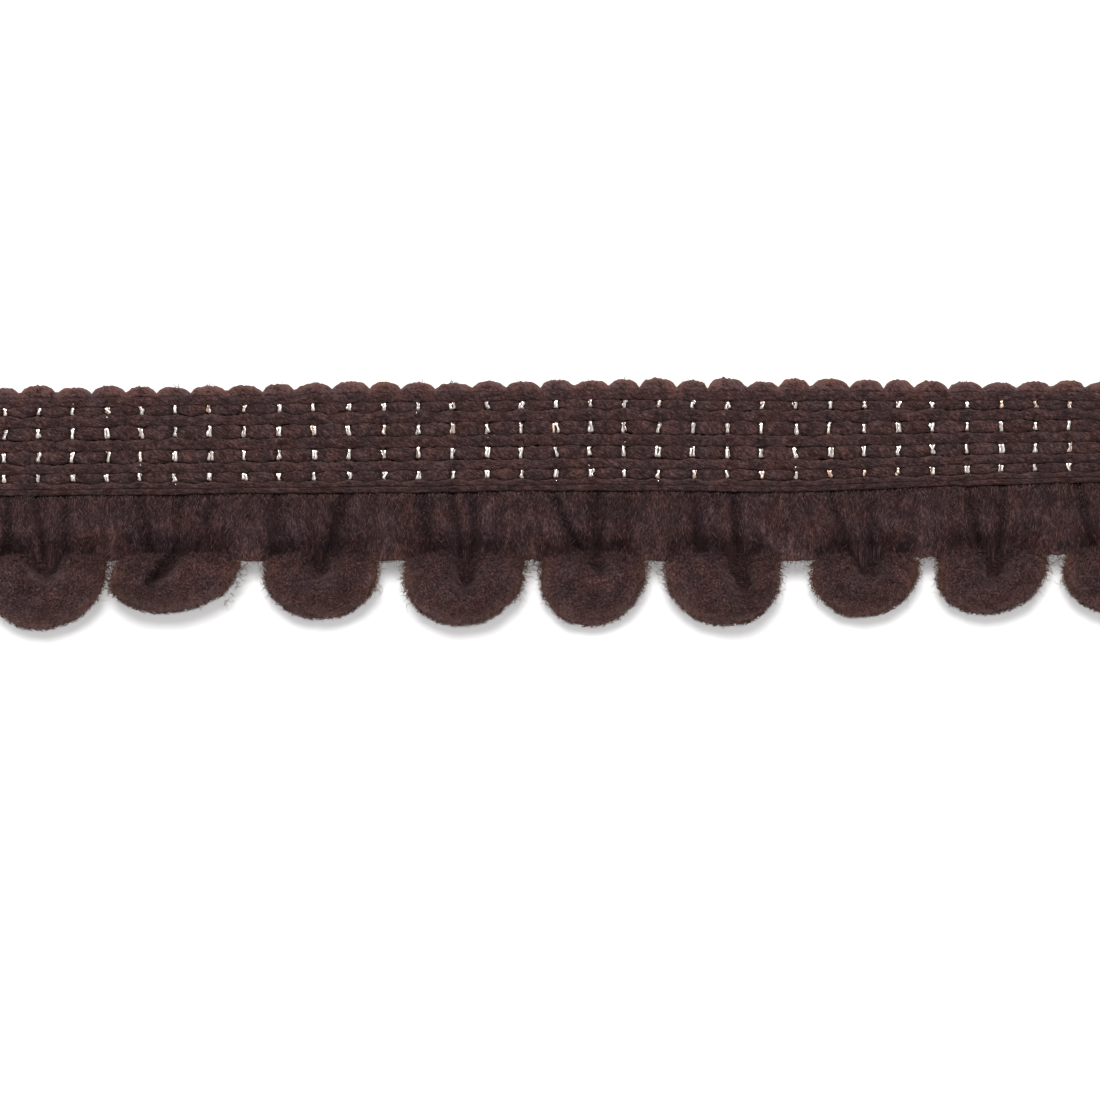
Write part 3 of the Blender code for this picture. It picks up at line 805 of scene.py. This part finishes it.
pompom = {
    "flatness": 0.68, "squareness": 0.88, "shoulderSquareness": 0.4,
    "clearance": -0.4, "centreDrop": 1.9, "flatSpot": 0.93, "sag": 1.6,
    "grooveCrowding": 0.35,
    # the trough: its half width at its end as a share of that at the hem, the height of its floor
    # at its end and at the hem, and how its depth sets in
    "troughNarrows": 0.62, "troughFloor": (4.0, 1.7), "troughRun": (-0.4, 0.25), "leanFrom": 0.3,
    "columns": 108, "rings": 44,
    "lumpSize": 1.3, "lumpHeight": 0.16, "tuftSize": 0.45, "tuftHeight": 0.09,
    "fibres": 3700, "fibreLength": (0.3, 0.8), "fibreThickness": (0.032, 0.066), "fibreLift": 0.27,
    "faceShare": 0.48,      # share of the fibres that lie on the upper face
    # painted warm rim light: its strength, how near upright the surface must stand, its share along the lower
    # outline and on the left side
    "rim": 0.88, "rimReach": 0.55, "rimBelow": 0.3, "leftRim": 0.7,
    "restShare": 0.62,      # how much closer the pile lies along the lower outline
    # painted light round the lower outline
    "paintedEdgeLight": 0.20,      # how much lighter the pile is round the lower outline
}


def tuftSurface(direction, tuft):
    # unit directions to points of a squashed ball: its side towards the hem is squared off, its
    # pole stands over the end of the groove, its lower side leans by lean * share of the way down,
    # a trough bell(distance from the groove's line) is pressed towards a sloping floor, and the
    # side away from the hem sags by sag * y^2
    centreX, width, low, grooveTop, grooveX, grooveY, grooveHalf, lean = tuft
    half = width / 2
    halfHeight = half * pompom["flatness"]
    hems = hemAt(centreX + np.array([-half, 0, half])) - trim["seamY"]
    middleY = hems.min() - pompom["clearance"] - pompom["centreDrop"]
    turn = math.asin((grooveTop - centreX) / half)
    flat = np.hypot(direction[..., 0], direction[..., 1])
    fromTop = np.arctan2(direction[..., 0], direction[..., 1])
    fromGroove = fromTop - pompom["grooveCrowding"] * np.sin(fromTop)
    tx, ty, tz = flat * np.sin(fromGroove + turn), flat * np.cos(fromGroove + turn), direction[..., 2]
    squared = pompom["centreDrop"] * np.abs(ty) ** pompom["shoulderSquareness"]
    y = np.where(ty > 0, squared, (middleY - low) * ty)
    x = half * tx + (grooveX - centreX) * (1 - flat)
    y = y + (grooveY - middleY) * (1 - flat)
    down = (pompom["centreDrop"] - y) / (pompom["centreDrop"] + middleY - low)
    x = x + lean * (down - pompom["leanFrom"])
    z = halfHeight * pompom["flatSpot"] + np.sign(tz) * np.abs(tz) ** pompom["squareness"] * halfHeight
    toHem = (y - (grooveY - middleY)) / (pompom["centreDrop"] - (grooveY - middleY))
    middleX = mix(grooveX, grooveTop, np.clip(toHem, 0, 1)) - centreX
    press = bell(x - middleX, grooveHalf * mix(pompom["troughNarrows"], 1, np.clip(toHem, 0, 1)), power=3)
    press = press * smoothStep(toHem, *pompom["troughRun"]) * smoothStep(tz, -0.8, -0.4)
    floor = mix(*pompom["troughFloor"], np.clip(toHem, 0, 1)) + max(0, 1.8 - grooveHalf) * 2.6
    z = np.where(z > floor, mix(z, floor, press), z)
    z = z - pompom["sag"] * np.maximum(-ty, 0) ** 2
    y = np.minimum(y, pompom["centreDrop"]) + middleY + trim["seamY"]
    return np.stack([x + centreX, y, np.maximum(z, 0)], axis=-1), press


def sphereGrid(columns, rings):
    # unit directions ring by ring between two single poles, with the triangles that join them
    polar = np.linspace(0, np.pi, rings + 1)[1:-1][:, None]
    turn = np.linspace(0, 2 * np.pi, columns, endpoint=False)[None, :]
    ringPoints = np.stack(np.broadcast_arrays(
        np.sin(polar) * np.sin(turn), np.sin(polar) * np.cos(turn), np.cos(polar)), axis=-1).reshape(-1, 3)
    directions = np.concatenate([ringPoints, [(0, 0, 1.0), (0, 0, -1.0)]])
    ring, spoke = np.meshgrid(np.arange(rings - 2), np.arange(columns), indexing="ij")
    after = (spoke + 1) % columns
    a, b = ring * columns + spoke, ring * columns + after
    c, d = b + columns, a + columns
    walls = np.stack([a, b, c, a, c, d], axis=-1).reshape(-1, 3)
    spoke = np.arange(columns)
    after = (spoke + 1) % columns
    last = (rings - 2) * columns
    top = np.stack([0 * spoke + len(ringPoints), after, spoke], axis=-1)
    bottom = np.stack([0 * spoke + len(ringPoints) + 1, spoke + last, after + last], axis=-1)
    return directions, np.concatenate([walls, top, bottom])


def outwardOf(direction, tuft):
    # cross product of two small steps over the surface
    first = unit(np.cross(direction, np.array([0.21, 0.36, 0.91])))
    second = np.cross(direction, first)
    step = 0.03
    here = tuftSurface(direction, tuft)[0]
    alongFirst = tuftSurface(unit(direction + first * step), tuft)[0] - here
    alongSecond = tuftSurface(unit(direction + second * step), tuft)[0] - here
    return here, unit(np.cross(alongFirst, alongSecond))


def rimOf(points, outward, tuft, seed):
    # where painted warm rim light goes: 1 where the surface stands upright near its left and right outline, less
    # at its lower one
    upright = bell(outward[:, 2], pompom["rimReach"])
    atSide = smoothStep(np.abs(points[:, 0] - tuft[0]) / tuft[1], 0.3, 0.42) * outward[:, 0] ** 2
    atSide = atSide * np.where(points[:, 0] < tuft[0], pompom["leftRim"], 1)
    below = pompom["rimBelow"] * smoothStep(-outward[:, 1], 0.3, 0.9)
    return pompom["rim"] * upright * np.maximum(atSide, below) * (0.6 + 0.4 * lumps(points / 1.6, seed))


def paintedEdgeLightAt(direction):
    # painted light, growing from the middle of the face towards its lower outline
    flat = np.hypot(direction[:, 0], direction[:, 1])
    return pompom["paintedEdgeLight"] * smoothStep(flat, 0.6, 1.0) * smoothStep(-direction[:, 1], -0.5, 0.4)


def makeTuft(number, tuft, ballDirections, ballFaces):
    # the ball with lumps and small locks of noise along its outward direction, and its pile
    draw = np.random.default_rng(300 + number)
    here, outward = outwardOf(ballDirections, tuft)
    lump = pompom["lumpHeight"] * lumps(here / pompom["lumpSize"], 40 + number)
    lock = pompom["tuftHeight"] * lumps(here / pompom["tuftSize"], 60 + number)
    press = tuftSurface(ballDirections, tuft)[1]
    ball = here + outward * (lump + lock - 0.1)[:, None]
    ball[:, 2] = np.maximum(ball[:, 2], 0.02)
    # the ball's tint: painted light on raised lumps and locks and shade between them, painted shade in the
    # groove, and painted light round the lower outline
    ballTint = 0.38 + 0.7 * (lump + lock) - 0.35 * press + paintedEdgeLightAt(ballDirections)
    ballRim = rimOf(here, outward, tuft, 50 + number)

    count = pompom["fibres"]
    around, out2 = draw.uniform(0, 2 * np.pi, count * 2), np.sqrt(draw.uniform(0, 0.985, count * 2))
    upper = np.stack([out2 * np.cos(around), out2 * np.sin(around), np.sqrt(1 - out2 ** 2)], axis=-1)
    other = unit(draw.normal(0, 1, (count * 2, 3)) * (1, 1, 0.4))
    onFace = draw.uniform(0, 1, (count * 2, 1)) < pompom["faceShare"]
    direction = np.where(onFace, upper, other)
    rootPress = tuftSurface(direction, tuft)[1]
    kept = np.flatnonzero(draw.uniform(0, 1, count * 2) > 0.75 * rootPress)[:count]
    direction, rootPress = direction[kept], rootPress[kept]
    root, out = outwardOf(direction, tuft)
    lumpHere = pompom["lumpHeight"] * lumps(root / pompom["lumpSize"], 40 + number)
    root = root + out * (lumpHere - 0.12)[:, None]
    length = draw.uniform(*pompom["fibreLength"], count)[:, None]
    fromTie = root - (tuft[4], tuft[5] + trim["seamY"], 6.0)
    combed = unit(np.cross(out, fromTie)) * draw.choice([-1, 1], count)[:, None]
    combed = combed + draw.normal(0, 0.8, (count, 3))
    combed = unit(combed - 0.85 * out * np.sum(combed * out, axis=-1, keepdims=True))
    lie = pompom["fibreLift"] * draw.uniform(0.4, 1.3, count)[:, None] * (2.3 - 1.4 * np.abs(out[:, 2:]))
    lie = lie * (1 - pompom["restShare"] * smoothStep(-out[:, 1:2], 0.2, 0.8))
    middles = root + combed * length * 0.55 + out * (0.14 + lie * length * 0.6)
    tips = root + combed * length * 0.9 + out * (0.10 + lie * length)
    middles[:, 2], tips[:, 2] = np.maximum(middles[:, 2], 0.05), np.maximum(tips[:, 2], 0.05)
    root[:, 2] = np.maximum(root[:, 2], 0.05)
    pile, pileFaces = needles(root, middles, tips, draw.uniform(*pompom["fibreThickness"], count))
    # the pile's tint: random tone, painted shade in the groove, painted light round the lower outline, and each
    # needle darker at its root and lighter at its tip, painted shade down in the pile
    pileTint = np.repeat(draw.normal(0.45, 0.37, count) - 0.3 * rootPress + paintedEdgeLightAt(direction), 7)
    pileTint += np.tile([-0.08, -0.08, -0.08, 0.02, 0.02, 0.02, 0.2], count)

    points = np.concatenate([ball, pile])
    faces = np.concatenate([ballFaces, pileFaces + len(ball)])
    # painted warm rim light on the ball, at half strength, and on the pile
    rim = np.concatenate([0.5 * ballRim, np.repeat(rimOf(root, out, tuft, 50 + number), 7)])
    piece = makePiece(f"tuft_{number}", points, faces, pompomWool,
                      np.concatenate([ballTint, pileTint]), rim=rim)
    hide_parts(f"pompom_{number}")
    return piece



yarnPieces = makeYarns()
braidBack = makeBacking()
weftPiece = makeWeft()
hairPiece = makeYarnHairs(yarnPieces)
print("braid done")
felt = makeSkirtFelt()
strandPiece = makeSkirtStrands()
wispPiece = makeWisps()
print("skirt done")
ballDirections, ballFaces = sphereGrid(pompom["columns"], pompom["rings"])
tufts = [makeTuft(number, row, ballDirections, ballFaces) for number, row in enumerate(tuftTable, start=1)]
print("pompoms done")

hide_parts("heading")
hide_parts("skirt")



studio = {
    "floorSize": 1.2, "floorColour": (0.93, 0.93, 0.93), "floorGlow": 0.28,
    "skyStrength": 0.46,
    "keyStrength": 2.5, "keyFrom": (-0.05, 0.38, 1.0), "keySoftness": 18,
    "viewCentre": (-3.16, -4.62), "viewWidth": 112.2, "viewDistance": 900.0, "faceHeight": 2.0,
}


def makeFloor():
    half = studio["floorSize"] / 2
    mesh = bpy.data.meshes.new("floor")
    mesh.from_pydata([(-half, -half, 0), (half, -half, 0), (half, half, 0), (-half, half, 0)], [], [(0, 1, 2, 3)])
    material = bpy.data.materials.new("floorWhite")
    material.use_nodes = True
    shader = material.node_tree.nodes["Principled BSDF"]
    shader.inputs["Base Color"].default_value = (*studio["floorColour"], 1)
    shader.inputs["Roughness"].default_value = 0.8
    shader.inputs["Specular IOR Level"].default_value = 0.1
    shader.inputs["Emission Color"].default_value = (1, 1, 1, 1)
    shader.inputs["Emission Strength"].default_value = studio["floorGlow"]
    mesh.materials.append(material)
    floor = bpy.data.objects.new("floor", mesh)
    bpy.context.scene.collection.objects.link(floor)


def makeLight():
    world = bpy.data.worlds.new("studioSky")
    world.use_nodes = True
    background = world.node_tree.nodes["Background"]
    background.inputs["Color"].default_value = (1, 1, 1, 1)
    background.inputs["Strength"].default_value = studio["skyStrength"]
    bpy.context.scene.world = world
    lamp = bpy.data.lights.new("keyLight", "SUN")
    lamp.energy = studio["keyStrength"]
    lamp.angle = math.radians(studio["keySoftness"])
    key = bpy.data.objects.new("keyLight", lamp)
    aim = np.array(studio["keyFrom"])
    key.rotation_euler = (math.atan2(math.hypot(aim[0], aim[1]), aim[2]), 0, math.atan2(aim[0], -aim[1]))
    bpy.context.scene.collection.objects.link(key)


def makeCamera():
    # straight down from far off, with a lens that takes in the photograph's width
    camera = bpy.data.cameras.new("camera")
    camera.sensor_width = 36
    camera.lens = 36 * studio["viewDistance"] / studio["viewWidth"]
    camera.clip_start, camera.clip_end = 0.01, 10
    holder = bpy.data.objects.new("camera", camera)
    across, along = studio["viewCentre"]
    height = studio["viewDistance"] + studio["faceHeight"]
    holder.location = (across * millimetre, along * millimetre, height * millimetre)
    bpy.context.scene.collection.objects.link(holder)
    bpy.context.scene.camera = holder


makeFloor()
makeLight()
makeCamera()
bpy.context.scene.view_settings.view_transform = "Standard"
print("stage done")
